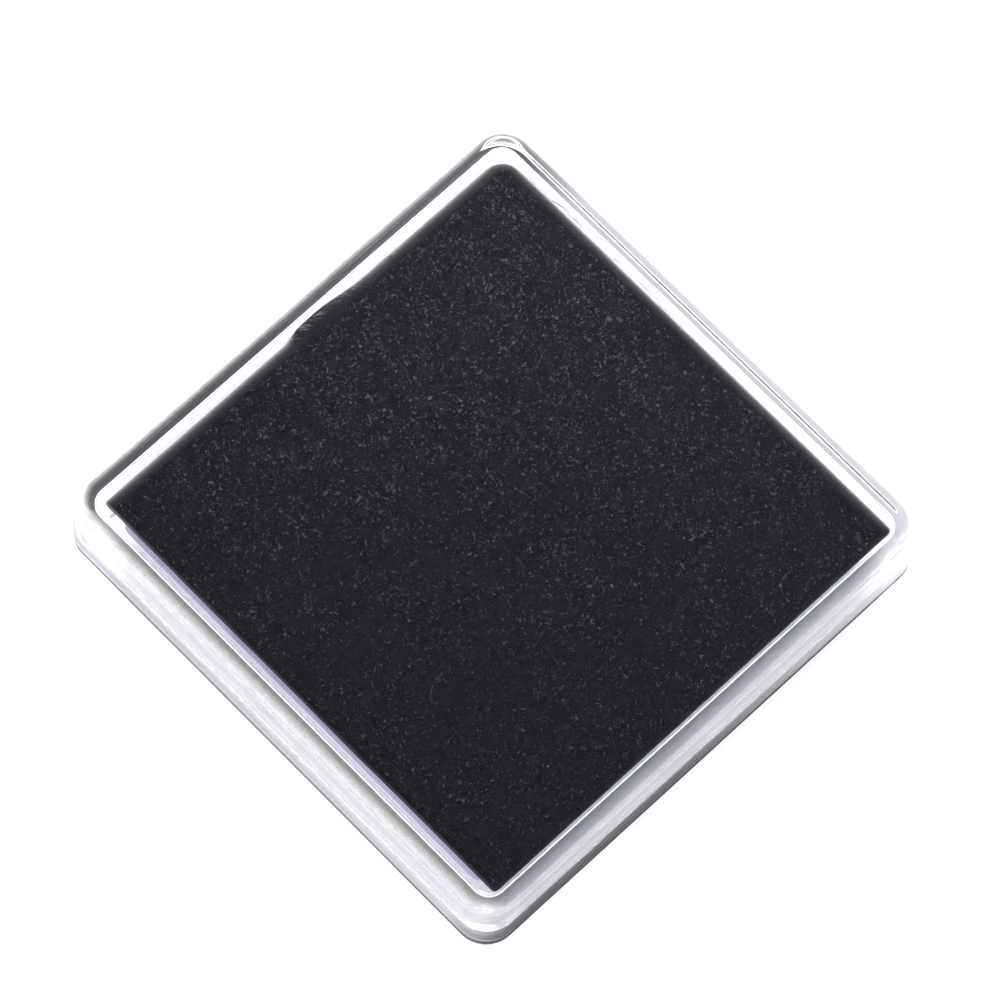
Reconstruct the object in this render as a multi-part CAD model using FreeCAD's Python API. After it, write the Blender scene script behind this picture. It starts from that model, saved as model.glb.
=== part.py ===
"""Small square ink pad: a clear tray and lift-off lid around a fabric-covered foam pad.

Millimetres, +Z up. The origin is the centre of the tray's flat underside, and the lid is on.
"""
import FreeCAD, Part
import os

# Overall size.
SIDE = 40.0                 # across the tray's flange, the widest part
HEIGHT = 6.2                # from the underside to the top of the closed lid

# Tray: a thick flange under the lid's skirt, and a thin wall around the pad.
FLANGE_THICKNESS = 1.5
FLANGE_CORNER = 2.2
FLANGE_EDGE = 0.3
FLOOR_THICKNESS = 1.2       # under the pad, a little lower than the flange
WELL_TOP = 3.6              # height of the wall's rim
WELL_WALL = 0.7
WELL_RIM_EDGE = 0.2

# Lid: a flat cap with rounded edges, whose skirt drops over the tray's wall.
LID_INSET = 0.2             # the flange stands out this far past the skirt
LID_WALL = 1.1
LID_TOP = 0.9
LID_CORNER = 2.4
LID_EDGE = 0.88             # outer rounding between the top and the skirt
LID_INNER_EDGE = 0.3
LID_FOOT_EDGE = 0.2
LID_CLEARANCE = 0.1         # gap between the skirt and the tray's wall, each side

# Pad: foam, wrapped in fabric whose hems are tucked underneath, on a glue sheet.
PAD_TOP = 4.4
PAD_CLEARANCE = 0.2         # gap between the pad and the tray's wall, each side
PAD_EDGE = 0.8
PAD_CORNER = 1.2
FABRIC = 0.5
HEM_WIDTH = 4.0
SHEET_THICKNESS = 0.15
SHEET_INSET = 1.0           # the sheet stops this far inside the pad's edge

lid_half = SIDE / 2 - LID_INSET
well_outer_half = lid_half - LID_WALL - LID_CLEARANCE
well_inner_half = well_outer_half - WELL_WALL
pad_half = well_inner_half - PAD_CLEARANCE
pad_base = FLOOR_THICKNESS + SHEET_THICKNESS


def rounded_block(half, corner, low, high):
    """A square block centred on the origin, with its four upright edges rounded."""
    block = Part.makeBox(2 * half, 2 * half, high - low, FreeCAD.Vector(-half, -half, low))
    return block.makeFillet(corner, [edge for edge in block.Edges if is_upright(edge)])


def is_upright(edge):
    start, end = (vertex.Point for vertex in edge.Vertexes)
    return abs(start.x - end.x) < 1e-6 and abs(start.y - end.y) < 1e-6


def edges_at(shape, z):
    """The edges that lie flat at one height."""
    return [edge for edge in shape.Edges if edge.BoundBox.ZLength < 1e-6
            and abs(edge.BoundBox.ZMin - z) < 1e-6]


def soften(shape, z, radius):
    """Round the whole outline of a block's flat face at one height."""
    return shape.makeFillet(radius, edges_at(shape, z))


def base_tray():
    """The flange and floor with the upright wall around the pad, moulded in one."""
    flange = rounded_block(SIDE / 2, FLANGE_CORNER, 0, FLANGE_THICKNESS)
    flange = soften(flange, 0, FLANGE_EDGE)
    flange = soften(flange, FLANGE_THICKNESS, FLANGE_EDGE)
    wall_corner = LID_CORNER - LID_WALL - LID_CLEARANCE
    wall = rounded_block(well_outer_half, wall_corner, FLOOR_THICKNESS / 2, WELL_TOP)
    wall = soften(wall, WELL_TOP, WELL_RIM_EDGE)
    well = rounded_block(well_inner_half, wall_corner - WELL_WALL, FLOOR_THICKNESS, HEIGHT)
    return flange.fuse(wall).cut(well).removeSplitter()


def lid():
    """The cap: a flat top and a skirt that rests on the tray's flange."""
    cap = rounded_block(lid_half, LID_CORNER, FLANGE_THICKNESS, HEIGHT)
    cap = soften(cap, HEIGHT, LID_EDGE)
    cap = soften(cap, FLANGE_THICKNESS, LID_FOOT_EDGE)
    inside = rounded_block(lid_half - LID_WALL, LID_CORNER - LID_WALL, 0, HEIGHT - LID_TOP)
    inside = soften(inside, HEIGHT - LID_TOP, LID_INNER_EDGE)
    return cap.cut(inside)


def foam_outline(grown=0.0):
    """The pad's block: the foam's own, or the fabric's outside when grown by its thickness."""
    low = pad_base + FABRIC - grown
    high = PAD_TOP - FABRIC + grown
    half = pad_half - FABRIC + grown
    corner = PAD_CORNER - FABRIC + grown
    return soften(rounded_block(half, corner, low, high), high, PAD_EDGE - FABRIC + grown)


def hem_window():
    """The square opening that the tucked hems leave under the pad."""
    half = pad_half - HEM_WIDTH
    return rounded_block(half, PAD_CORNER, pad_base, pad_base + FABRIC)


def ink_sponge():
    """The foam block, which bulges down between the hems to meet the glue sheet."""
    return foam_outline().fuse(hem_window()).removeSplitter()


def pad_cover():
    """The fabric over the foam's top and sides, with its hems underneath."""
    return foam_outline(FABRIC).cut(foam_outline()).cut(hem_window())


def adhesive_sheet():
    """The double-sided sheet that holds the pad to the tray's floor."""
    return rounded_block(pad_half - SHEET_INSET, PAD_CORNER, FLOOR_THICKNESS, pad_base)


os.makedirs("parts", exist_ok=True)
for make in (base_tray, lid, ink_sponge, pad_cover, adhesive_sheet):
    solid = make()
    solid.exportStep(f"parts/{make.__name__}.step")
    print(make.__name__, len(solid.Solids), solid.isValid(), round(solid.Volume, 2), solid.BoundBox)
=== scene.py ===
"""Looks of a small square ink pad: clear tray and lid, black fabric pad with its pile, foam and glue."""

import math

import bpy
import numpy as np
from mathutils import Matrix, Vector, noise


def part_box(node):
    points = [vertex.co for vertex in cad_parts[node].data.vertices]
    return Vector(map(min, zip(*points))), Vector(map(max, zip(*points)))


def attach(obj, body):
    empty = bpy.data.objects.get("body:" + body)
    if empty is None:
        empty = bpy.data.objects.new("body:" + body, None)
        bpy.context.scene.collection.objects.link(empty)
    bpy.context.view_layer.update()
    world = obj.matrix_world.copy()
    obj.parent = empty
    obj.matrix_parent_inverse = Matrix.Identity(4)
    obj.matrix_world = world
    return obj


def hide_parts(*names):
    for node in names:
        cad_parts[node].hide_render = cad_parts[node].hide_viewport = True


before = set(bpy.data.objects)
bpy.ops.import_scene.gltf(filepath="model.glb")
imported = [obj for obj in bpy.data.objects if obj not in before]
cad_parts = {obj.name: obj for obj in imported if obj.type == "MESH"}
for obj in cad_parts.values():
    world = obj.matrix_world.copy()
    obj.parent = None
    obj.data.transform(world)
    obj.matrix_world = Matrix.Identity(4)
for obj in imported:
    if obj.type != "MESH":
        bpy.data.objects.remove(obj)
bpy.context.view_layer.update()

MM = 0.001

# Sizes of the mouldings. Only the flange's and the well rim's roundings differ from the CAD model's.
LID_WALL = 1.1 * MM
LID_TOP = 0.9 * MM
LID_CORNER = 2.4 * MM
LID_EDGE = 0.88 * MM
LID_INNER_EDGE = 0.3 * MM
LID_FOOT_EDGE = 0.2 * MM
FLANGE_CORNER = 2.2 * MM
FLANGE_EDGE = 0.42 * MM
FLANGE_LOW_EDGE = 0.16 * MM
FLANGE_THICKNESS = 1.5 * MM
FLOOR_THICKNESS = 1.2 * MM
WELL_WALL = 0.7 * MM
LID_CLEARANCE = 0.1 * MM
WELL_RIM_EDGE = 0.08 * MM
SEAT_GAP = 0.03 * MM         # air left under the lid's foot, so that light crosses both faces
FLAT_MARGIN = 0.12 * MM      # narrow band of flat mesh beside each rounding
CORNER_MARGIN = 0.03 * MM    # the same beside a sharp corner
SMALLEST_CORNER = 0.3 * MM   # corner radius that a moulding's innermost rings keep
CONTACT = 0.01 * MM          # how far what touches the tray's floor presses into it

lid_low, lid_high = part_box("lid")
tray_low, tray_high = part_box("base_tray")
pad_low, pad_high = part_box("pad_cover")
foam_low, foam_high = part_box("ink_sponge")
sheet_low, sheet_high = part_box("adhesive_sheet")
lid_half = lid_high.x
tray_half = tray_high.x
well_outer = lid_half - LID_WALL - LID_CLEARANCE
well_inner = well_outer - WELL_WALL
well_corner = LID_CORNER - LID_WALL - LID_CLEARANCE


# ---------------------------------------------------------------- camera and stage

CAMERA_AZIMUTH = 40.18
CAMERA_ELEVATION = 69.15
CAMERA_ROLL = 6.18
CAMERA_DISTANCE = 0.46736
CAMERA_RIGHT = 0.18 * MM
CAMERA_UP = 2.94 * MM
CAMERA_LENS = 257.35


def direction(azimuth, elevation):
    """Unit vector toward a compass angle and height in degrees. Angle 0 is toward -Y."""
    a, e = math.radians(azimuth), math.radians(elevation)
    return Vector((math.sin(a) * math.cos(e), -math.cos(a) * math.cos(e), math.sin(e)))


def make_camera():
    back = direction(CAMERA_AZIMUTH, CAMERA_ELEVATION)
    right = direction(CAMERA_AZIMUTH + 90, 0)
    up = back.cross(right)
    roll = math.radians(CAMERA_ROLL)
    image_right = right * math.cos(roll) + up * math.sin(roll)
    image_up = up * math.cos(roll) - right * math.sin(roll)
    place = back * CAMERA_DISTANCE + right * CAMERA_RIGHT + up * CAMERA_UP
    data = bpy.data.cameras.new("camera")
    data.lens = CAMERA_LENS
    data.clip_start = 0.01
    camera = bpy.data.objects.new("camera", data)
    turned = Matrix((image_right, image_up, back)).transposed().to_4x4()
    camera.matrix_world = Matrix.Translation(place) @ turned
    bpy.context.scene.collection.objects.link(camera)
    bpy.context.scene.camera = camera


def make_softbox(name, azimuth, elevation, distance, width, height, power):
    """A rectangular area light that faces the pad."""
    data = bpy.data.lights.new(name, "AREA")
    data.shape = "RECTANGLE"
    data.size, data.size_y = width, height
    data.energy = power
    light = bpy.data.objects.new(name, data)
    toward = direction(azimuth, elevation)
    light.location = toward * distance
    light.rotation_euler = toward.to_track_quat("Z", "Y").to_euler()
    light.visible_camera = False
    light.visible_glossy = False
    bpy.context.scene.collection.objects.link(light)


# Tones of the studio's walls by compass side, and of its ceiling, in linear light.
WALL_TONES = ((0.0, (0.06, 0.055, 0.055, 1)), (0.25, (0.30, 0.30, 0.36, 1)),
              (0.5, (0.30, 0.31, 0.36, 1)), (0.75, (0.55, 0.54, 0.56, 1)), (1.0, (0.06, 0.055, 0.055, 1)))
CEILING_STOPS = ((0.55, (1, 1, 1, 1)), (0.90, (0.55, 0.55, 0.58, 1)), (0.945, (0.06, 0.06, 0.065, 1)))


def make_world():
    world = bpy.data.worlds.new("studio")
    world.use_nodes = True
    nodes, links = world.node_tree.nodes, world.node_tree.links
    place = nodes.new("ShaderNodeTexCoord").outputs["Generated"]
    walls = side_ramp(nodes, links, place, WALL_TONES)
    ceiling = ramp_node(nodes, links, height_of(nodes, links, place), CEILING_STOPS)
    studio = mix_colours(nodes, links, 1.0, walls, ceiling, "MULTIPLY")
    links.new(studio, nodes["Background"].inputs["Color"])
    bpy.context.scene.world = world


FLOOR_SIDES = 96
FLOOR_RADIUS = 1.5
FLOOR_DROP = -0.05 * MM      # the floor lies just under the tray


def make_stage():
    bpy.context.scene.view_settings.view_transform = "Standard"
    make_world()
    make_softbox("window_light", azimuth=225, elevation=40, distance=1.0, width=0.42, height=0.42, power=20)
    make_softbox("front_light", azimuth=30, elevation=55, distance=1.0, width=0.8, height=0.8, power=13)
    turns = [2 * math.pi * i / FLOOR_SIDES for i in range(FLOOR_SIDES)]
    points = [(FLOOR_RADIUS * math.cos(t), FLOOR_RADIUS * math.sin(t), FLOOR_DROP) for t in turns]
    floor = mesh_object("floor", points, [tuple(range(FLOOR_SIDES))])
    add_materials(floor, floor_material())


# ---------------------------------------------------------------- mesh helpers

def mesh_object(name, points, faces, smooth=False):
    mesh = bpy.data.meshes.new(name)
    mesh.from_pydata([tuple(p) for p in points], [], faces)
    mesh.update()
    mesh.polygons.foreach_set("use_smooth", [smooth] * len(mesh.polygons))
    piece = bpy.data.objects.new(name, mesh)
    bpy.context.scene.collection.objects.link(piece)
    return piece


def add_materials(piece, *materials):
    for material in materials:
        piece.data.materials.append(material)


def second_material_from(piece, first):
    """Gives the piece's second material to its faces from the given one on."""
    for face in piece.data.polygons:
        if face.index >= first:
            face.material_index = 1


def ripple(x, y, scale, seed, depth):
    """Smooth noise over the plane: larger scales give finer ripples, and each seed its own."""
    return noise.noise(Vector((x * scale, y * scale, seed))) * depth


def join_rings(points, faces, ring_points, last_ring):
    """Adds one more ring of points and the band of faces that joins it to the ring before."""
    start = len(points)
    points.extend(ring_points)
    ring = list(range(start, start + len(ring_points)))
    if last_ring:
        count = len(ring)
        faces.extend((last_ring[i], last_ring[(i + 1) % count], ring[(i + 1) % count], ring[i])
                     for i in range(count))
    return ring


ARC_STEPS = 20
SIDE_STEPS = 60
RING_POINTS = 4 * (ARC_STEPS + SIDE_STEPS)
UPRIGHT = 0.05               # faces whose normal rises less than this count as upright


def rounded_square(half, corner):
    """Points round a square with rounded corners, evenly along its sides, anticlockwise."""
    points = []
    straight = half - corner
    for quarter in range(4):
        turn = quarter * math.pi / 2
        cos_turn, sin_turn = round(math.cos(turn)), round(math.sin(turn))
        local = [(straight + corner * math.cos(a), straight + corner * math.sin(a))
                 for a in (math.pi / 2 * i / ARC_STEPS for i in range(ARC_STEPS + 1))]
        local += [(straight * (1 - 2 * i / SIDE_STEPS), half) for i in range(1, SIDE_STEPS)]
        points += [(x * cos_turn - y * sin_turn, x * sin_turn + y * cos_turn) for x, y in local]
    return points


def arc_profile(centre, radius, start, end, steps):
    """Points of an arc of the profile, angles in degrees."""
    angles = [math.radians(start + (end - start) * i / steps) for i in range(steps + 1)]
    return [(centre[0] + radius * math.cos(a), centre[1] + radius * math.sin(a)) for a in angles]


def loft(name, profile, corner_of, shape=None):
    """A closed shell swept round a rounded square. Each profile point is (half width, height)."""
    points, faces, ring = [], [], None
    for half, z in profile:
        outline = [Vector((x, y, z)) for x, y in rounded_square(half, corner_of(half))]
        ring = join_rings(points, faces, outline, ring)
    faces.append(tuple(reversed(range(len(ring)))))
    faces.append(tuple(ring))
    if shape:
        points = [shape(p) for p in points]
    piece = mesh_object(name, points, faces, smooth=True)
    piece.modifiers.new("even_normals", "WEIGHTED_NORMAL").keep_sharp = True
    return piece


def band_of(face):
    """Which band of its loft a face is in, counted along the profile."""
    return min(face.vertices) // RING_POINTS


def is_upright(face):
    return abs(face.normal.z) < UPRIGHT


def border_places(last):
    """Grid places (column, row) round the edge of a grid whose last line has the given number."""
    border = [(i, 0) for i in range(last)] + [(last, i) for i in range(last)]
    return border + [(last - i, last) for i in range(last)] + [(0, last - i) for i in range(last)]


# ---------------------------------------------------------------- mouldings

def moulded(point):
    """The slight unevenness of a thin moulded wall."""
    x, y, z = point
    wave = noise.noise(Vector((x * 180, y * 180, z * 500))) * 0.008 * MM
    wave += noise.noise(Vector((x * 900, y * 900, z * 900 + 5))) * 0.002 * MM
    return point + Vector((x, y, 0)).normalized() * wave


LID_INNER_STEPS = 8
LID_FOOT_STEPS = 6
LID_EDGE_STEPS = 14
FOOT_BANDS = 4               # the foot's flat bands and the start of its rounding
FOOT_SLOT, SKIRT_SLOT, LID_EDGE_SLOT = 1, 2, 3


def lid_corner(half):
    return max(LID_CORNER - (lid_half - half), SMALLEST_CORNER)


def make_lid():
    top, foot = lid_high.z, lid_low.z + SEAT_GAP
    ceiling = top - LID_TOP
    inner = lid_half - LID_WALL
    inner_round = (inner - LID_INNER_EDGE, ceiling - LID_INNER_EDGE)
    foot_round = (lid_half - LID_FOOT_EDGE, foot + LID_FOOT_EDGE)
    profile = [(inner - LID_INNER_EDGE - FLAT_MARGIN, ceiling)]
    profile += arc_profile(inner_round, LID_INNER_EDGE, 90, 0, LID_INNER_STEPS)
    profile += [(inner, ceiling - LID_INNER_EDGE - FLAT_MARGIN), (inner, foot + CORNER_MARGIN), (inner, foot)]
    foot_starts = len(profile) - 1
    profile += [(inner + CORNER_MARGIN, foot)]
    profile += [(lid_half - LID_FOOT_EDGE - FLAT_MARGIN, foot)]
    profile += arc_profile(foot_round, LID_FOOT_EDGE, -90, 0, LID_FOOT_STEPS)
    profile += [(lid_half, foot + LID_FOOT_EDGE + FLAT_MARGIN), (lid_half, top - LID_EDGE - FLAT_MARGIN)]
    edge_starts = len(profile)
    profile += arc_profile((lid_half - LID_EDGE, top - LID_EDGE), LID_EDGE, 0, 90, LID_EDGE_STEPS)
    profile += [(lid_half - LID_EDGE - FLAT_MARGIN, top)]
    lid = loft("clear_lid", profile, lid_corner, moulded)
    add_materials(lid, clear_material("clear_lid_plastic", 1.0), foot_material(),
                  wall_material("clear_lid_skirt", 2.0), lit_edge_material())
    for face in lid.data.polygons:
        band = band_of(face)
        if foot_starts <= band <= foot_starts + FOOT_BANDS and len(face.vertices) == 4:
            face.material_index = FOOT_SLOT
        elif edge_starts <= band < edge_starts + LID_EDGE_STEPS:
            face.material_index = LID_EDGE_SLOT
        elif 0 < band < foot_starts or is_upright(face):
            face.material_index = SKIRT_SLOT
    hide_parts("lid")
    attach(lid, "lid_body")


FLANGE_LOW_STEPS = 6
FLANGE_STEPS = 8
RIM_STEPS = 6
WALL_SLOT, FLANGE_SLOT = 1, 2


def tray_corner(half):
    if half > well_outer:
        return max(FLANGE_CORNER - (tray_half - half), SMALLEST_CORNER)
    return max(well_corner - (well_outer - half), SMALLEST_CORNER)


def make_tray():
    rim = tray_high.z
    flange = FLANGE_THICKNESS
    low_round = (tray_half - FLANGE_LOW_EDGE, FLANGE_LOW_EDGE)
    outer_rim = (well_outer - WELL_RIM_EDGE, rim - WELL_RIM_EDGE)
    inner_rim = (well_inner + WELL_RIM_EDGE, rim - WELL_RIM_EDGE)
    profile = [(tray_half - FLANGE_LOW_EDGE - FLAT_MARGIN, 0)]
    profile += arc_profile(low_round, FLANGE_LOW_EDGE, -90, 0, FLANGE_LOW_STEPS)
    profile += arc_profile((tray_half - FLANGE_EDGE, flange - FLANGE_EDGE), FLANGE_EDGE, 0, 90, FLANGE_STEPS)
    profile += [(tray_half - FLANGE_EDGE - FLAT_MARGIN, flange)]
    flange_ends = len(profile) - 1
    profile += [(well_outer + FLAT_MARGIN, flange), (well_outer, flange), (well_outer, flange + FLAT_MARGIN)]
    profile += [(well_outer, rim - WELL_RIM_EDGE - FLAT_MARGIN)]
    profile += arc_profile(outer_rim, WELL_RIM_EDGE, 0, 90, RIM_STEPS)
    profile += arc_profile(inner_rim, WELL_RIM_EDGE, 90, 180, RIM_STEPS)
    profile += [(well_inner, FLOOR_THICKNESS + FLAT_MARGIN), (well_inner, FLOOR_THICKNESS)]
    profile += [(well_inner - FLAT_MARGIN, FLOOR_THICKNESS)]
    tray = loft("clear_tray", profile, tray_corner, moulded)
    add_materials(tray, clear_material("clear_tray_plastic", 4.0), wall_material("clear_tray_wall", 5.0),
                  flange_edge_material())
    for face in tray.data.polygons:
        if 1 <= band_of(face) < flange_ends and len(face.vertices) == 4:
            face.material_index = FLANGE_SLOT
        elif is_upright(face):
            face.material_index = WALL_SLOT
    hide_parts("base_tray")
    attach(tray, "tray_body")


# ---------------------------------------------------------------- the pad

# Reaches are -X, +X, -Y, +Y. Corner radii are in the order (-X,-Y), (+X,-Y), (+X,+Y), (-X,+Y).
FLAT_REACH = (-17.4 * MM, 17.9 * MM, -17.42 * MM, 17.65 * MM)     # where the pile ends
ROLL_REACH = (-18.3 * MM, 18.3 * MM, -17.5 * MM, 18.42 * MM)      # the outermost of the rolled edge
WAIST_REACH = (-17.84 * MM, 17.84 * MM, -17.3 * MM, 17.84 * MM)    # just inside the tray's wall
BASE_REACH = (-17.3 * MM, 17.75 * MM, -16.55 * MM, 17.3 * MM)
ROLL_DROP = 0.72 * MM
BROW = 0.05 * MM             # depth under the pad's top where the roll begins
WAIST = 0.98 * MM            # depth where the roll has drawn in to the tray's wall
ROLL_STEPS = 10
SIDE_BANDS = 5
FABRIC = 0.45 * MM
HEM_WIDTH = 4.0 * MM
FLAT_CORNERS = (0.15 * MM, 0.25 * MM, 0.2 * MM, 0.6 * MM)
ROLL_CORNERS = (0.25 * MM, 0.3 * MM, 0.35 * MM, 1.5 * MM)
EDGE_CELLS = 12
MIDDLE_CELLS = 104
EDGE_SHARE = 0.075           # share of the half width that the finer edge cells cover
RIB_SPACING = 0.34           # mm between the ribs beside the bulge


def grid_lines():
    """Positions from -1 to 1 across the pad, closer together near the edges."""
    edge = np.linspace(0, EDGE_SHARE, EDGE_CELLS, endpoint=False)
    middle = np.linspace(-1 + EDGE_SHARE, 1 - EDGE_SHARE, MIDDLE_CELLS + 1)
    return np.concatenate([-1 + edge, middle, (1 - edge)[::-1]])


def outline_point(u, v, reach, corners):
    """Where the grid place (u, v) falls in a rectangle with four different rounded corners."""
    x = reach[0] + (reach[1] - reach[0]) * (u + 1) / 2
    y = reach[2] + (reach[3] - reach[2]) * (v + 1) / 2
    side_x, side_y = (1 if u > 0 else -1), (1 if v > 0 else -1)
    radius = corners[{(-1, -1): 0, (1, -1): 1, (1, 1): 2, (-1, 1): 3}[side_x, side_y]]
    centre_x = (reach[1] if u > 0 else reach[0]) - side_x * radius
    centre_y = (reach[3] if v > 0 else reach[2]) - side_y * radius
    over_x, over_y = (x - centre_x) * side_x, (y - centre_y) * side_y
    if over_x > 0 and over_y > 0:
        shrink = max(over_x, over_y) / math.hypot(over_x, over_y)
        x = centre_x + side_x * over_x * shrink
        y = centre_y + side_y * over_y * shrink
    return x, y


def pile_height(x, y):
    """Lie of the pad's top: crowned a little, with soft lumps and a fine nap."""
    edge = max(abs(x), abs(y)) / pad_high.x
    lumps = ripple(x, y, 260, 1, 0.035) + ripple(x, y, 800, 2, 0.02)
    nap = ripple(x, y, 2600, 3, 0.02)
    return pad_high.z + (lumps + nap - 0.06 * edge ** 6) * MM


def pulled_edge(point, share):
    """The rolled edge's waves, with the pulled bulge and its ribs half way along the -X side."""
    x, y, z = point
    wave = ripple(x, y, 120, 7, 0.05) + ripple(x, y, 500, 8, 0.02)
    outward = Vector((x, y, 0)).normalized()
    moved = point + outward * wave * share * MM
    if x < FLAT_REACH[0] and abs(y) < 14 * MM:
        along = (y / MM + 1.5) / 1.5
        bulge = smooth(along) * (1 - smooth((y / MM - 0.5) / 6))
        ribs = math.sin(y / MM * 2 * math.pi / RIB_SPACING + x / MM * 3) * 0.035
        ribs = ribs * smooth(along) * (1 - smooth((y / MM - 6) / 4))
        moved.x -= (0.22 * bulge + ribs) * share * MM
        moved.z += 0.45 * bulge * share * MM
    return moved


def resting(point):
    """Past the glue sheet on the +X side the wet hem lies on the tray's floor, less of it toward +Y."""
    if point.z < pad_low.z + 0.01 * MM and point.x > SHEET_REACH[1]:
        if point.x > SHEET_REACH[1] + 0.6 * MM:
            point.x = well_inner - 0.02 * MM - 1.3 * MM * smooth((point.y / MM + 2) / 19)
        point.z += sheet_low.z - CONTACT - pad_low.z
    return point


def smooth(t):
    t = min(max(t, 0), 1)
    return t * t * (3 - 2 * t)


def blend_reach(a, b, t):
    return tuple(p + (q - p) * t for p, q in zip(a, b))


def make_cover():
    """The fabric: a fine grid over the top, then rings down the roll, under the pad and back inside."""
    lines = grid_lines()
    count = len(lines)
    points, faces = [], []
    for v in lines:
        for u in lines:
            x, y = outline_point(u, v, FLAT_REACH, FLAT_CORNERS)
            points.append(Vector((x, y, pile_height(x, y))))
    for row in range(count - 1):
        for column in range(count - 1):
            corner = row * count + column
            faces.append((corner, corner + 1, corner + count + 1, corner + count))
    border = border_places(count - 1)
    ring = [row * count + column for column, row in border]
    top_faces = len(faces)
    for reach, corners, z, share in side_levels():
        outline = []
        for (column, row), index in zip(border, ring):
            x, y = outline_point(lines[column], lines[row], reach, corners)
            outline.append(resting(pulled_edge(Vector((x, y, z)), share)))
        start = len(points)
        points.extend(outline)
        new_ring = list(range(start, start + len(outline)))
        total = len(ring)
        faces.extend((ring[i], new_ring[i], new_ring[(i + 1) % total], ring[(i + 1) % total])
                     for i in range(total))
        ring = new_ring
    faces.append(tuple(reversed(ring)))
    cover = mesh_object("pad_fabric", points, faces, smooth=True)
    add_materials(cover, pile_material(), rolled_material())
    second_material_from(cover, top_faces)
    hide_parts("pad_cover")
    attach(cover, "tray_body")


def side_levels():
    """Reach, corner radii, height and share of the edge's waves, ring by ring from the top down and in."""
    top, base = pad_high.z, pad_low.z
    levels = []
    for step in range(1, ROLL_STEPS + 1):
        angle = math.pi / 2 * step / ROLL_STEPS
        share = math.sin(angle)
        reach = blend_reach(FLAT_REACH, ROLL_REACH, share)
        corners = blend_reach(FLAT_CORNERS, ROLL_CORNERS, share)
        levels.append((reach, corners, top - BROW - ROLL_DROP * (1 - math.cos(angle)), share))
    levels.append((blend_reach(ROLL_REACH, WAIST_REACH, 0.35), ROLL_CORNERS, top - 0.86 * MM, 0.5))
    levels.append((WAIST_REACH, ROLL_CORNERS, top - WAIST, 0.0))
    for step in range(1, SIDE_BANDS + 1):
        reach = blend_reach(WAIST_REACH, BASE_REACH, step / SIDE_BANDS)
        z = top - WAIST + (base + 0.25 * MM - top + WAIST) * step / SIDE_BANDS
        levels.append((reach, ROLL_CORNERS, z, 0.0))
    # Round under the pad to the hem's edge, and back up inside the fabric.
    under_and_inside = ((0.08 * MM, ROLL_CORNERS, base + 0.08 * MM), (0.25 * MM, ROLL_CORNERS, base),
                        (1.25 * MM, ROLL_CORNERS, base), (HEM_WIDTH, ROLL_CORNERS, base),
                        (HEM_WIDTH, ROLL_CORNERS, base + FABRIC),
                        (FABRIC + 0.2 * MM, FLAT_CORNERS, base + FABRIC),
                        (FABRIC + 0.1 * MM, FLAT_CORNERS, top - FABRIC - 0.4 * MM),
                        (2 * FABRIC, FLAT_CORNERS, top - FABRIC - 0.1 * MM))
    levels += [(shrink(BASE_REACH, inward), corners, z, 0.0) for inward, corners, z in under_and_inside]
    return levels


def shrink(reach, amount):
    return (reach[0] + amount, reach[1] - amount, reach[2] + amount, reach[3] - amount)


PILE_FIBRES = 32000


def make_pile():
    """Short bent fibres that lie every way on the pad's top, thinner where the pad is worn."""
    rng = np.random.default_rng(7)
    points, faces = [], []
    made = 0
    while made < PILE_FIBRES:
        x = rng.uniform(FLAT_REACH[0] + 0.12 * MM, FLAT_REACH[1] - 0.12 * MM)
        y = rng.uniform(FLAT_REACH[2] + 0.12 * MM, FLAT_REACH[3] - 0.12 * MM)
        full = 0.6 + 0.4 * smooth((y - x) / (30 * MM) + 0.5) + ripple(x, y, 300, 11, 0.5)
        if rng.uniform() > full:
            continue
        add_fibre(points, faces, Vector((x, y, pile_height(x, y))), rng.uniform(0, 2 * math.pi),
                  rng.uniform(0.10, 0.27) * MM, rng.uniform(0.024, 0.04) * MM,
                  rng.uniform(-0.45, 0.45), rng.uniform(0.02, 0.07) * MM)
        made += 1
    pile = mesh_object("fabric_pile", points, faces, smooth=True)
    add_materials(pile, fibre_material())
    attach(pile, "tray_body")


def add_fibre(points, faces, centre, angle, half_length, thickness, bend, rise):
    """One three-sided spindle, bent in the middle: its ends dip into the fabric, its middle stands proud."""
    along = Vector((math.cos(angle), math.sin(angle), 0))
    across = Vector((-along.y, along.x, 0))
    middle = centre + across * bend * half_length + Vector((0, 0, rise))
    dip = Vector((0, 0, -0.03 * MM))
    start = len(points)
    points.append(centre - along * half_length + dip)
    for corner in range(3):
        turn = 2 * math.pi * corner / 3 + math.pi / 2
        rim = across * math.cos(turn) * thickness + Vector((0, 0, math.sin(turn) * thickness))
        points.append(middle + rim)
    points.append(centre + along * half_length + dip)
    for corner in range(3):
        after = (corner + 1) % 3
        faces.append((start, start + 1 + after, start + 1 + corner))
        faces.append((start + 4, start + 1 + corner, start + 1 + after))


THREAD_SIDES = 5


def add_thread(points, faces, path, radius):
    """A closed thread that tapers to both ends of its path."""
    start = len(points)
    points.append(path[0])
    for step in range(1, len(path) - 1):
        along = (path[step + 1] - path[step - 1]).normalized()
        across = along.cross(Vector((0, 0, 1))).normalized()
        upward = across.cross(along)
        for corner in range(THREAD_SIDES):
            turn = 2 * math.pi * corner / THREAD_SIDES
            points.append(path[step] + (across * math.cos(turn) + upward * math.sin(turn)) * radius)
    points.append(path[-1])
    rings = len(path) - 2
    for corner in range(THREAD_SIDES):
        after = (corner + 1) % THREAD_SIDES
        faces.append((start, start + 1 + corner, start + 1 + after))
        for ring in range(rings - 1):
            low = start + 1 + THREAD_SIDES * ring
            high = low + THREAD_SIDES
            faces.append((low + corner, high + corner, high + after, low + after))
        low = start + 1 + THREAD_SIDES * (rings - 1)
        faces.append((start + 1 + THREAD_SIDES * rings, low + after, low + corner))


FRAYED_THREADS = 44
LOOSE_THREADS = 26


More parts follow.
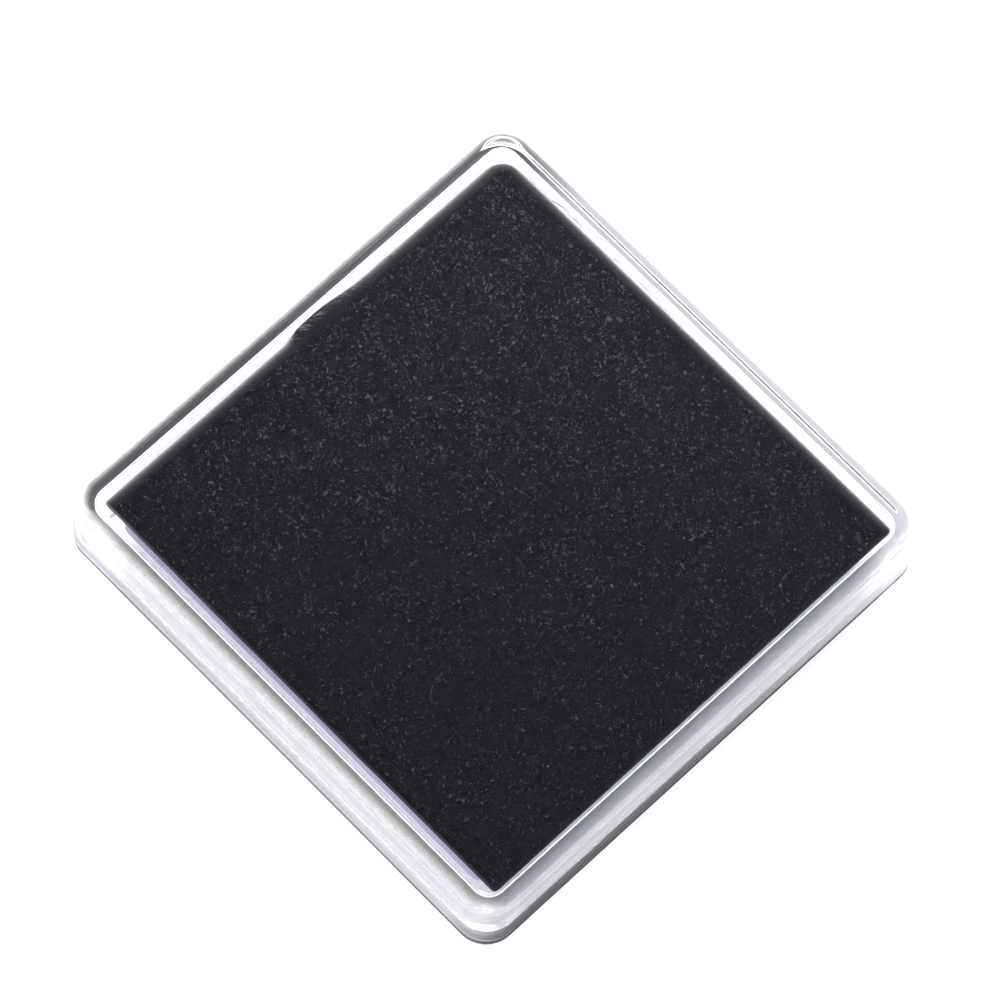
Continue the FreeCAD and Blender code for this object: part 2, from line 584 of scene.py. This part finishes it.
def make_frayed_edge():
    """Drawn threads across the -X roll beside its bulge, and pale loose ones along the +Y roll."""
    rng = np.random.default_rng(19)
    points, faces = [], []
    for _ in range(FRAYED_THREADS):
        y = rng.triangular(-1.6, 1.0, 11.0) * MM
        slant = rng.uniform(-0.9, -0.3) * MM
        start, end = math.radians(rng.uniform(15, 40)), math.radians(rng.uniform(55, 72))
        path = [roll_point(y + slant * s, start * (1 - s) + end * s, 0.015 * MM)
                for s in (0.0, 0.25, 0.5, 0.75, 1.0)]
        add_thread(points, faces, path, rng.uniform(0.012, 0.022) * MM)
    pale_from = len(faces)
    for _ in range(LOOSE_THREADS):
        x = rng.uniform(-18.0, -3.0) * MM
        length = rng.uniform(0.5, 2.2) * MM
        y = (18.42 + rng.uniform(0.0, 0.16)) * MM
        lift = rng.uniform(-0.1, 0.25) * MM
        path = [Vector((x + length * s, y + 0.12 * MM * math.sin(3 * s + x / MM), 4.0 * MM + lift * s))
                for s in (0.0, 0.2, 0.4, 0.6, 0.8, 1.0)]
        add_thread(points, faces, path, rng.uniform(0.012, 0.028) * MM)
    edge = mesh_object("frayed_edge", points, faces, smooth=True)
    add_materials(edge, thread_material("frayed_thread", (0.03, 0.03, 0.034, 1), (0.26, 0.255, 0.26, 1)),
                  thread_material("loose_thread", (0.25, 0.25, 0.27, 1), (0.6, 0.6, 0.64, 1)))
    second_material_from(edge, pale_from)
    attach(edge, "tray_body")


def roll_point(y, turn, lift):
    """A place on the -X roll, by how far round the roll it is and how far off the fabric."""
    share = math.sin(turn)
    x = FLAT_REACH[0] + (ROLL_REACH[0] - FLAT_REACH[0]) * share
    point = pulled_edge(Vector((x, y, pad_high.z - BROW - ROLL_DROP * (1 - math.cos(turn)))), share)
    return point + Vector((-share, 0, math.cos(turn))) * lift


def make_foam():
    """The ink-soaked foam inside the fabric, flat on top with a rounded top edge, and pitted with open cells.
    """
    low, high = pad_low.z, pad_high.z - FABRIC - 0.2 * MM
    half = foam_high.x - 1.1 * MM
    hem = foam_high.x + FABRIC - HEM_WIDTH - 0.9 * MM
    profile = [(hem * 0.35, low + 0.02 * MM), (hem * 0.8, low + 0.02 * MM), (hem - 0.3 * MM, low + 0.02 * MM),
               (hem - 0.1 * MM, low + FABRIC + 0.05 * MM), (half - 0.3 * MM, low + FABRIC + 0.05 * MM),
               (half, low + FABRIC + 0.3 * MM), (half, (low + high) / 2), (half, high - 0.35 * MM),
               (half - 0.1 * MM, high - 0.1 * MM), (half - 0.4 * MM, high), (half * 0.75, high),
               (half * 0.35, high)]
    foam = loft("foam_block", profile, lambda size: 1.0 * MM, foam_cells)
    add_materials(foam, foam_material())
    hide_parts("ink_sponge")
    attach(foam, "tray_body")


def foam_cells(point):
    pits = noise.noise(point * 1500) * 0.02 + noise.noise(point * 4000) * 0.02
    inward = Vector((point.x, point.y, 0)).normalized()
    return point - inward * abs(pits) * MM


SHEET_REACH = (-17.0 * MM, 16.35 * MM, -17.22 * MM, 16.6 * MM)
SHEET_CELLS = 60


def make_sheet():
    """The double-sided glue sheet between tray and pad, its edge left slightly uneven by the knife."""
    lines = np.linspace(-1, 1, SHEET_CELLS + 1)
    corners = (0.4 * MM,) * 4
    low = sheet_low.z - CONTACT
    levels = [(shrink(SHEET_REACH, 0.3 * MM), low), (SHEET_REACH, low),
              (SHEET_REACH, sheet_high.z), (shrink(SHEET_REACH, 0.3 * MM), sheet_high.z)]
    points, faces, ring = [], [], None
    for reach, z in levels:
        outline = []
        for column, row in border_places(SHEET_CELLS):
            x, y = outline_point(lines[column], lines[row], reach, corners)
            wave = ripple(x, y, 260, 21, 0.03) * MM
            outline.append(Vector((x, y, z)) + Vector((x, y, 0)).normalized() * wave)
        ring = join_rings(points, faces, outline, ring)
    faces.append(tuple(reversed(range(len(ring)))))
    faces.append(tuple(ring))
    sheet = mesh_object("glue_sheet", points, faces)
    add_materials(sheet, glue_material())
    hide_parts("adhesive_sheet")
    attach(sheet, "tray_body")


# ---------------------------------------------------------------- materials

def new_material(name):
    material = bpy.data.materials.new(name)
    material.use_nodes = True
    nodes, links = material.node_tree.nodes, material.node_tree.links
    return material, nodes, links, nodes["Principled BSDF"]


def object_place(nodes):
    return nodes.new("ShaderNodeTexCoord").outputs["Object"]


def feed(links, value, socket):
    """Links the value to the socket if it is an output itself, and otherwise sets the socket to it."""
    if isinstance(value, bpy.types.NodeSocket):
        links.new(value, socket)
    else:
        socket.default_value = value


def set_gloss(shader, roughness, specular=0.5):
    shader.inputs["Roughness"].default_value = roughness
    shader.inputs["Specular IOR Level"].default_value = specular


def noise_node(nodes, links, vector, scale, detail=3.0, roughness=0.5):
    texture = nodes.new("ShaderNodeTexNoise")
    for name, number in (("Scale", scale), ("Detail", detail), ("Roughness", roughness)):
        texture.inputs[name].default_value = number
    links.new(vector, texture.inputs["Vector"])
    return texture.outputs["Fac"]


def remap(nodes, links, value, given, wanted):
    """Takes a value from the given range to the wanted one, and holds it there at both ends."""
    node = nodes.new("ShaderNodeMapRange")
    for name, number in zip(("From Min", "From Max", "To Min", "To Max"), given + wanted):
        node.inputs[name].default_value = number
    links.new(value, node.inputs["Value"])
    return node.outputs["Result"]


def combine(nodes, links, operation, a, b):
    """A Math node of two values, such as MULTIPLY or MAXIMUM."""
    node = nodes.new("ShaderNodeMath")
    node.operation = operation
    links.new(a, node.inputs[0])
    links.new(b, node.inputs[1])
    return node.outputs["Value"]


def height_of(nodes, links, vector):
    split = nodes.new("ShaderNodeSeparateXYZ")
    links.new(vector, split.inputs["Vector"])
    return split.outputs["Z"]


def ramp_node(nodes, links, value, stops):
    ramp = nodes.new("ShaderNodeValToRGB")
    while len(ramp.color_ramp.elements) < len(stops):
        ramp.color_ramp.elements.new(0.5)
    for element, (position, colour) in zip(ramp.color_ramp.elements, stops):
        element.position = position
        element.color = colour
    links.new(value, ramp.inputs["Fac"])
    return ramp.outputs["Color"]


def side_ramp(nodes, links, vector, stops):
    """A ramp that runs round the object by compass side, anticlockwise from -X."""
    compass = nodes.new("ShaderNodeTexGradient")
    compass.gradient_type = "RADIAL"
    links.new(vector, compass.inputs["Vector"])
    return ramp_node(nodes, links, compass.outputs["Fac"], stops)


def greys(*stops):
    """Ramp stops from pairs of position and grey level."""
    return tuple((position, (grey, grey, grey, 1)) for position, grey in stops)


def mix_colours(nodes, links, share, a, b, blend="MIX"):
    mix = nodes.new("ShaderNodeMix")
    mix.data_type = "RGBA"
    mix.blend_type = blend
    for name, value in (("Factor", share), ("A", a), ("B", b)):
        feed(links, value, mix.inputs[name])
    return mix.outputs["Result"]


def mix_shaders(nodes, links, share, first, second):
    """The first shader with a share of the second over it."""
    mix = nodes.new("ShaderNodeMixShader")
    feed(links, share, mix.inputs["Fac"])
    links.new(first, mix.inputs[1])
    links.new(second, mix.inputs[2])
    return mix.outputs["Shader"]


def diffuse(nodes, links, colour):
    shader = nodes.new("ShaderNodeBsdfDiffuse")
    links.new(colour, shader.inputs["Color"])
    return shader.outputs["BSDF"]


def bump(nodes, links, height, shader, distance, strength=1.0):
    node = nodes.new("ShaderNodeBump")
    node.inputs["Distance"].default_value = distance
    node.inputs["Strength"].default_value = strength
    links.new(height, node.inputs["Height"])
    links.new(node.outputs["Normal"], shader.inputs["Normal"])


# ---------------------------------------------------------------- clear plastic

PLASTIC_TINT = (0.97, 0.975, 0.99, 1)
LAMP_TINT = (0.97, 0.972, 0.98, 1)
PLASTIC_IOR = 1.58
HAZE = 0.03                  # most roughness that the plastic's haze adds
WALL_SATIN = 0.18            # roughness of the mouldings' upright faces


def let_lamps_through(material, nodes, links, shader):
    """Lamp light passes straight through the clear plastic, so that what is under it is lit."""
    rays = nodes.new("ShaderNodeLightPath")
    shadow, diffused = rays.outputs["Is Shadow Ray"], rays.outputs["Is Diffuse Ray"]
    lamp_rays = combine(nodes, links, "MAXIMUM", shadow, diffused)
    open_path = nodes.new("ShaderNodeBsdfTransparent")
    open_path.inputs["Color"].default_value = LAMP_TINT
    surface = mix_shaders(nodes, links, lamp_rays, shader, open_path.outputs["BSDF"])
    links.new(surface, nodes["Material Output"].inputs["Surface"])


def clear_shader(nodes, links, shader, seed, satin=0.0):
    """Clear polystyrene with faint haze and the slight waviness of a moulded face."""
    shader.inputs["Base Color"].default_value = PLASTIC_TINT
    shader.inputs["Transmission Weight"].default_value = 1.0
    shader.inputs["IOR"].default_value = PLASTIC_IOR
    vector = object_place(nodes)
    haze = noise_node(nodes, links, vector, scale=260.0 + seed, detail=4.0)
    roughness = remap(nodes, links, haze, (0.35, 0.75), (satin, satin + HAZE))
    links.new(roughness, shader.inputs["Roughness"])
    waviness = noise_node(nodes, links, vector, scale=420.0 + seed, detail=2.0)
    bump(nodes, links, waviness, shader, 0.01 * MM, strength=0.4)


def clear_material(name, seed):
    material, nodes, links, shader = new_material(name)
    clear_shader(nodes, links, shader, seed)
    let_lamps_through(material, nodes, links, shader.outputs["BSDF"])
    return material


# Painted shade on the mouldings' upright faces: a darker tint on the -Y and +X sides, by side anticlockwise
# from -X.
WALL_PAINTED_SHADE_TINTS = ((0.0, PLASTIC_TINT), (0.10, (0.93, 0.93, 0.96, 1)), (0.14, (0.77, 0.765, 0.82, 1)),
              (0.36, (0.77, 0.76, 0.82, 1)), (0.39, (0.74, 0.75, 0.80, 1)), (0.61, (0.78, 0.785, 0.835, 1)),
              (0.64, PLASTIC_TINT))


def wall_material(name, seed):
    """Upright moulded faces: satin, with painted shade as a darker tint on the -Y and +X sides."""
    material, nodes, links, shader = new_material(name)
    clear_shader(nodes, links, shader, seed, WALL_SATIN)
    # Painted shade: the side ramp darkens the -Y and +X faces.
    links.new(side_ramp(nodes, links, object_place(nodes), WALL_PAINTED_SHADE_TINTS), shader.inputs["Base Color"])
    let_lamps_through(material, nodes, links, shader.outputs["BSDF"])
    return material


# Painted light and shade on the foot of the lid's wall: a grey by side, anticlockwise from -X, darkest on -X
# and lightest on +Y.
FOOT_PAINTED_SHADE_TONES = ((0.0, (0.060, 0.056, 0.062, 1)), (0.115, (0.060, 0.056, 0.062, 1)),
              (0.135, (0.15, 0.135, 0.13, 1)), (0.365, (0.19, 0.17, 0.16, 1)),
              (0.385, (0.18, 0.185, 0.22, 1)), (0.615, (0.19, 0.195, 0.23, 1)),
              (0.635, (0.42, 0.41, 0.445, 1)), (0.84, (0.39, 0.38, 0.42, 1)),
              (0.865, (0.07, 0.068, 0.078, 1)))
FOOT_SLANT = (0.028, 0.10)   # Layer Weight's Facing between which the foot's tone fades
FOOT_SHARE = (1.0, 0.12)     # share of the tone when looked at squarely, and at a slant


def foot_material():
    """The foot of the lid's wall: a grey of painted light and shade by side, shown when looked at squarely
    and faded at a slant.
    """
    material, nodes, links, shader = new_material("clear_lid_foot")
    clear_shader(nodes, links, shader, 2.0)
    # Painted light and shade: the diffuse grey by side, here called satin, is mixed in by viewing angle.
    satin = diffuse(nodes, links, side_ramp(nodes, links, object_place(nodes), FOOT_PAINTED_SHADE_TONES))
    facing = nodes.new("ShaderNodeLayerWeight").outputs["Facing"]
    share = remap(nodes, links, facing, FOOT_SLANT, FOOT_SHARE)
    surface = mix_shaders(nodes, links, share, shader.outputs["BSDF"], satin)
    let_lamps_through(material, nodes, links, surface)
    return material


# Share of painted light, a pale diffuse speckled by fine noise, on the lid's rounded edge, from the flat top
# (0) down to the upright wall (1).
# The stops up to a half are 10 degrees apart round the edge.
EDGE_PAINTED_LIGHT_SHARE = greys((0.0, 0.0), (0.015, 0.08), (0.06, 0.22), (0.134, 0.4), (0.234, 0.62), (0.357, 0.82),
                    (0.5, 0.9), (0.75, 0.5), (1.0, 0.1))
# The same by side, anticlockwise from -X.
EDGE_PAINTED_LIGHT_SIDES = greys((0.0, 1), (0.10, 1), (0.14, 0.5), (0.36, 0.4), (0.39, 0.25), (0.61, 0.2), (0.85, 0.2),
                    (0.89, 0.9))


def lit_edge_material():
    """The lid's rounded edge: clear, with painted light as a speckled pale diffuse, strongest on the -X side.
    """
    material, nodes, links, shader = new_material("clear_lid_edge")
    clear_shader(nodes, links, shader, 3.0)
    vector = object_place(nodes)
    edge = (lid_high.z, lid_high.z - LID_EDGE)
    drop = remap(nodes, links, height_of(nodes, links, vector), edge, (0.0, 1.0))
    share = combine(nodes, links, "MULTIPLY", ramp_node(nodes, links, drop, EDGE_PAINTED_LIGHT_SHARE),
                    side_ramp(nodes, links, vector, EDGE_PAINTED_LIGHT_SIDES))
    fine = noise_node(nodes, links, vector, scale=1500.0, detail=4.0)
    speckled = combine(nodes, links, "MULTIPLY", share, remap(nodes, links, fine, (0.3, 0.6), (0.8, 1.0)))
    tint = noise_node(nodes, links, vector, scale=300.0, detail=2.0)
    tints = ((0.35, (0.84, 0.80, 0.76, 1)), (0.65, (0.88, 0.86, 0.86, 1)))
    # Painted light: a pale diffuse mixed over the clear plastic along the edge.
    painted_edge_light = diffuse(nodes, links, ramp_node(nodes, links, tint, tints))
    surface = mix_shaders(nodes, links, speckled, shader.outputs["BSDF"], painted_edge_light)
    let_lamps_through(material, nodes, links, surface)
    return material


# Painted shade: how strongly each side of the flange's edge is darkened, low on the edge and high on it.
LOW_EDGE_PAINTED_SHADE = greys((0.0, 0.0), (0.09, 0.9), (0.15, 0.75), (0.36, 0.8), (0.385, 1), (0.56, 1), (0.63, 0.85),
                     (0.66, 0.0))
HIGH_EDGE_PAINTED_SHADE = greys((0.0, 0.0), (0.12, 0.5), (0.36, 0.4), (0.385, 0.95), (0.47, 0.85), (0.56, 0.3),
                      (0.62, 0.0))
# Where the two bands of painted shade lie, from the flange's underside (0) to its top (1).
LOW_EDGE_BAND = greys((0.0, 1), (0.42, 1), (0.54, 0.2), (0.64, 0.0))
HIGH_EDGE_BAND = greys((0.66, 0), (0.76, 1), (0.93, 1), (1.0, 0.3))
# Tone of the frosted edge between the two bands, with painted shade by side, darkest round the +X side.
FLANGE_PAINTED_TONES = ((0.0, (0.9, 0.9, 0.93, 1)), (0.13, (0.70, 0.69, 0.74, 1)), (0.36, (0.66, 0.65, 0.70, 1)),
               (0.385, (0.12, 0.118, 0.125, 1)), (0.50, (0.2, 0.2, 0.21, 1)), (0.60, (0.5, 0.5, 0.53, 1)),
               (0.66, (0.9, 0.9, 0.93, 1)))
EDGE_SHADE_TONE = (0.03, 0.027, 0.029, 1)
FROST_SHARE = 0.85


def flange_edge_material():
    """The flange's frosted edge, with painted shade along it in two dark bands, strongest at the +X -Y
    corner.
    """
    material, nodes, links, shader = new_material("clear_flange_edge")
    clear_shader(nodes, links, shader, 6.0, WALL_SATIN)
    vector = object_place(nodes)
    height = remap(nodes, links, height_of(nodes, links, vector), (0.0, FLANGE_THICKNESS), (0.0, 1.0))
    low, high = [combine(nodes, links, "MULTIPLY", side_ramp(nodes, links, vector, sides),
                         ramp_node(nodes, links, height, band))
                 for sides, band in ((LOW_EDGE_PAINTED_SHADE, LOW_EDGE_BAND), (HIGH_EDGE_PAINTED_SHADE, HIGH_EDGE_BAND))]
    # Painted shade: the two dark bands along the edge are joined here.
    ink = combine(nodes, links, "MAXIMUM", low, high)
    tone = mix_colours(nodes, links, ink, side_ramp(nodes, links, vector, FLANGE_PAINTED_TONES), EDGE_SHADE_TONE)
    surface = mix_shaders(nodes, links, FROST_SHARE, shader.outputs["BSDF"], diffuse(nodes, links, tone))
    let_lamps_through(material, nodes, links, surface)
    return material


# ---------------------------------------------------------------- fabric, foam, glue and floor

def pile_material():
    """Ink-black ground of the short-pile fabric."""
    material, nodes, links, shader = new_material("inked_pile")
    vector = object_place(nodes)
    mottle = noise_node(nodes, links, vector, scale=1400.0, detail=5.0, roughness=0.6)
    tones = ((0.35, (0.0025, 0.0024, 0.0034, 1)), (0.7, (0.007, 0.0068, 0.0085, 1)))
    links.new(ramp_node(nodes, links, mottle, tones), shader.inputs["Base Color"])
    set_gloss(shader, roughness=0.9, specular=0.1)
    bump(nodes, links, noise_node(nodes, links, vector, scale=2600.0, detail=4.0), shader, 0.05 * MM)
    return material


def fibre_material():
    """Single fibres, each more or less soaked."""
    material, nodes, links, shader = new_material("pile_fibre")
    vector = object_place(nodes)
    soak = noise_node(nodes, links, vector, scale=4200.0, detail=1.0)
    tones = ((0.42, (0.005, 0.0048, 0.006, 1)), (0.55, (0.018, 0.0175, 0.020, 1)),
             (0.70, (0.10, 0.10, 0.108, 1)))
    colour = ramp_node(nodes, links, soak, tones)
    # Painted light: the fibres are made lighter toward the -X +Y corner.
    lightened = mix_colours(nodes, links, 1.0, colour, corner_painted_light(nodes, links, vector), "MULTIPLY")
    links.new(lightened, shader.inputs["Base Color"])
    set_gloss(shader, roughness=0.5, specular=0.25)
    return material


def corner_painted_light(nodes, links, vector):
    """Painted light: fibres lighter toward the -X +Y corner, where they catch more light."""
    toward = nodes.new("ShaderNodeVectorMath")
    toward.operation = "DOT_PRODUCT"
    toward.inputs[1].default_value = (-1, 1, 0)
    links.new(vector, toward.inputs[0])
    return remap(nodes, links, toward.outputs["Value"], (-0.030, 0.034), (1.0, 1.7))


# The rolled edge's colour from its brow (0) down to its outermost line (1): a pale band of it is painted
# sheen.
# The stops from 0.06 to a half are 10 degrees apart round the roll.
ROLL_PAINTED_SHEEN_TONES = ((0.0, (0.006, 0.006, 0.008, 1)), (0.06, (0.014, 0.014, 0.016, 1)),
              (0.134, (0.030, 0.030, 0.033, 1)), (0.234, (0.062, 0.061, 0.065, 1)),
              (0.357, (0.13, 0.128, 0.132, 1)), (0.5, (0.22, 0.216, 0.22, 1)),
              (0.60, (0.26, 0.257, 0.26, 1)), (0.72, (0.07, 0.069, 0.072, 1)),
              (0.86, (0.008, 0.008, 0.010, 1)))
# How much painted sheen the rolled edge has by side, anticlockwise from -X: full on -X and +Y.
ROLL_PAINTED_SHEEN_SIDES = greys((0.0, 1), (0.11, 1), (0.14, 0.1), (0.61, 0.15), (0.64, 0.8), (0.9, 1))


def rolled_material():
    """Smooth, drawn fabric of the rolled edge, with painted sheen in a pale band down the -X and +Y rolls."""
    material, nodes, links, shader = new_material("rolled_fabric")
    vector = object_place(nodes)
    mottle = noise_node(nodes, links, vector, scale=500.0, detail=4.0, roughness=0.6)
    tones = ((0.35, (0.003, 0.003, 0.0042, 1)), (0.7, (0.008, 0.008, 0.0098, 1)))
    soaked = ramp_node(nodes, links, mottle, tones)
    brow = pad_high.z - BROW
    drop = remap(nodes, links, height_of(nodes, links, vector), (brow, brow - ROLL_DROP), (0.0, 1.0))
    sheen_side_share = side_ramp(nodes, links, vector, ROLL_PAINTED_SHEEN_SIDES)
    # Painted sheen: the pale band is mixed in by side.
    colour = mix_colours(nodes, links, sheen_side_share, soaked, ramp_node(nodes, links, drop, ROLL_PAINTED_SHEEN_TONES))
    links.new(colour, shader.inputs["Base Color"])
    set_gloss(shader, roughness=0.55, specular=0.1)
    shader.inputs["Sheen Weight"].default_value = 0.015
    shader.inputs["Sheen Roughness"].default_value = 0.3
    bump(nodes, links, noise_node(nodes, links, vector, scale=1800.0), shader, 0.02 * MM)
    return material


def thread_material(name, dark, light):
    """Threads that are more or less soaked along their length."""
    material, nodes, links, shader = new_material(name)
    vector = object_place(nodes)
    soak = noise_node(nodes, links, vector, scale=2600.0, detail=2.0)
    links.new(ramp_node(nodes, links, soak, ((0.38, dark), (0.66, light))), shader.inputs["Base Color"])
    set_gloss(shader, roughness=0.5, specular=0.3)
    bump(nodes, links, noise_node(nodes, links, vector, scale=9000.0, detail=1.0), shader, 0.01 * MM)
    return material


def foam_material():
    """Ink-soaked open-cell foam."""
    material, nodes, links, shader = new_material("inked_foam")
    cells = nodes.new("ShaderNodeTexVoronoi")
    cells.inputs["Scale"].default_value = 2400.0
    links.new(object_place(nodes), cells.inputs["Vector"])
    tones = ((0.1, (0.01, 0.01, 0.013, 1)), (0.7, (0.045, 0.044, 0.052, 1)))
    links.new(ramp_node(nodes, links, cells.outputs["Distance"], tones), shader.inputs["Base Color"])
    set_gloss(shader, roughness=0.7)
    bump(nodes, links, cells.outputs["Distance"], shader, 0.1 * MM)
    return material


def glue_material():
    """Pale film with a faint lilac cast, painted a darker grey for the pad's shade over it, and blotched
    where ink has crept under it.
    """
    material, nodes, links, shader = new_material("glue_film")
    vector = object_place(nodes)
    creep = noise_node(nodes, links, vector, scale=150.0, detail=5.0, roughness=0.6)
    # Painted shade: both tones are darker than the pale film itself.
    tones = ((0.3, (0.40, 0.39, 0.50, 1)), (0.6, (0.56, 0.55, 0.68, 1)))
    links.new(ramp_node(nodes, links, creep, tones), shader.inputs["Base Color"])
    set_gloss(shader, roughness=0.45)
    bump(nodes, links, noise_node(nodes, links, vector, scale=900.0), shader, 0.02 * MM)
    return material


def floor_material():
    material, nodes, links, shader = new_material("pale_floor")
    shader.inputs["Base Color"].default_value = (0.9, 0.9, 0.9, 1)
    set_gloss(shader, roughness=0.8)
    return material


# ---------------------------------------------------------------- assembly

make_camera()
make_stage()
make_lid()
make_tray()
make_cover()
make_pile()
make_frayed_edge()
make_foam()
make_sheet()
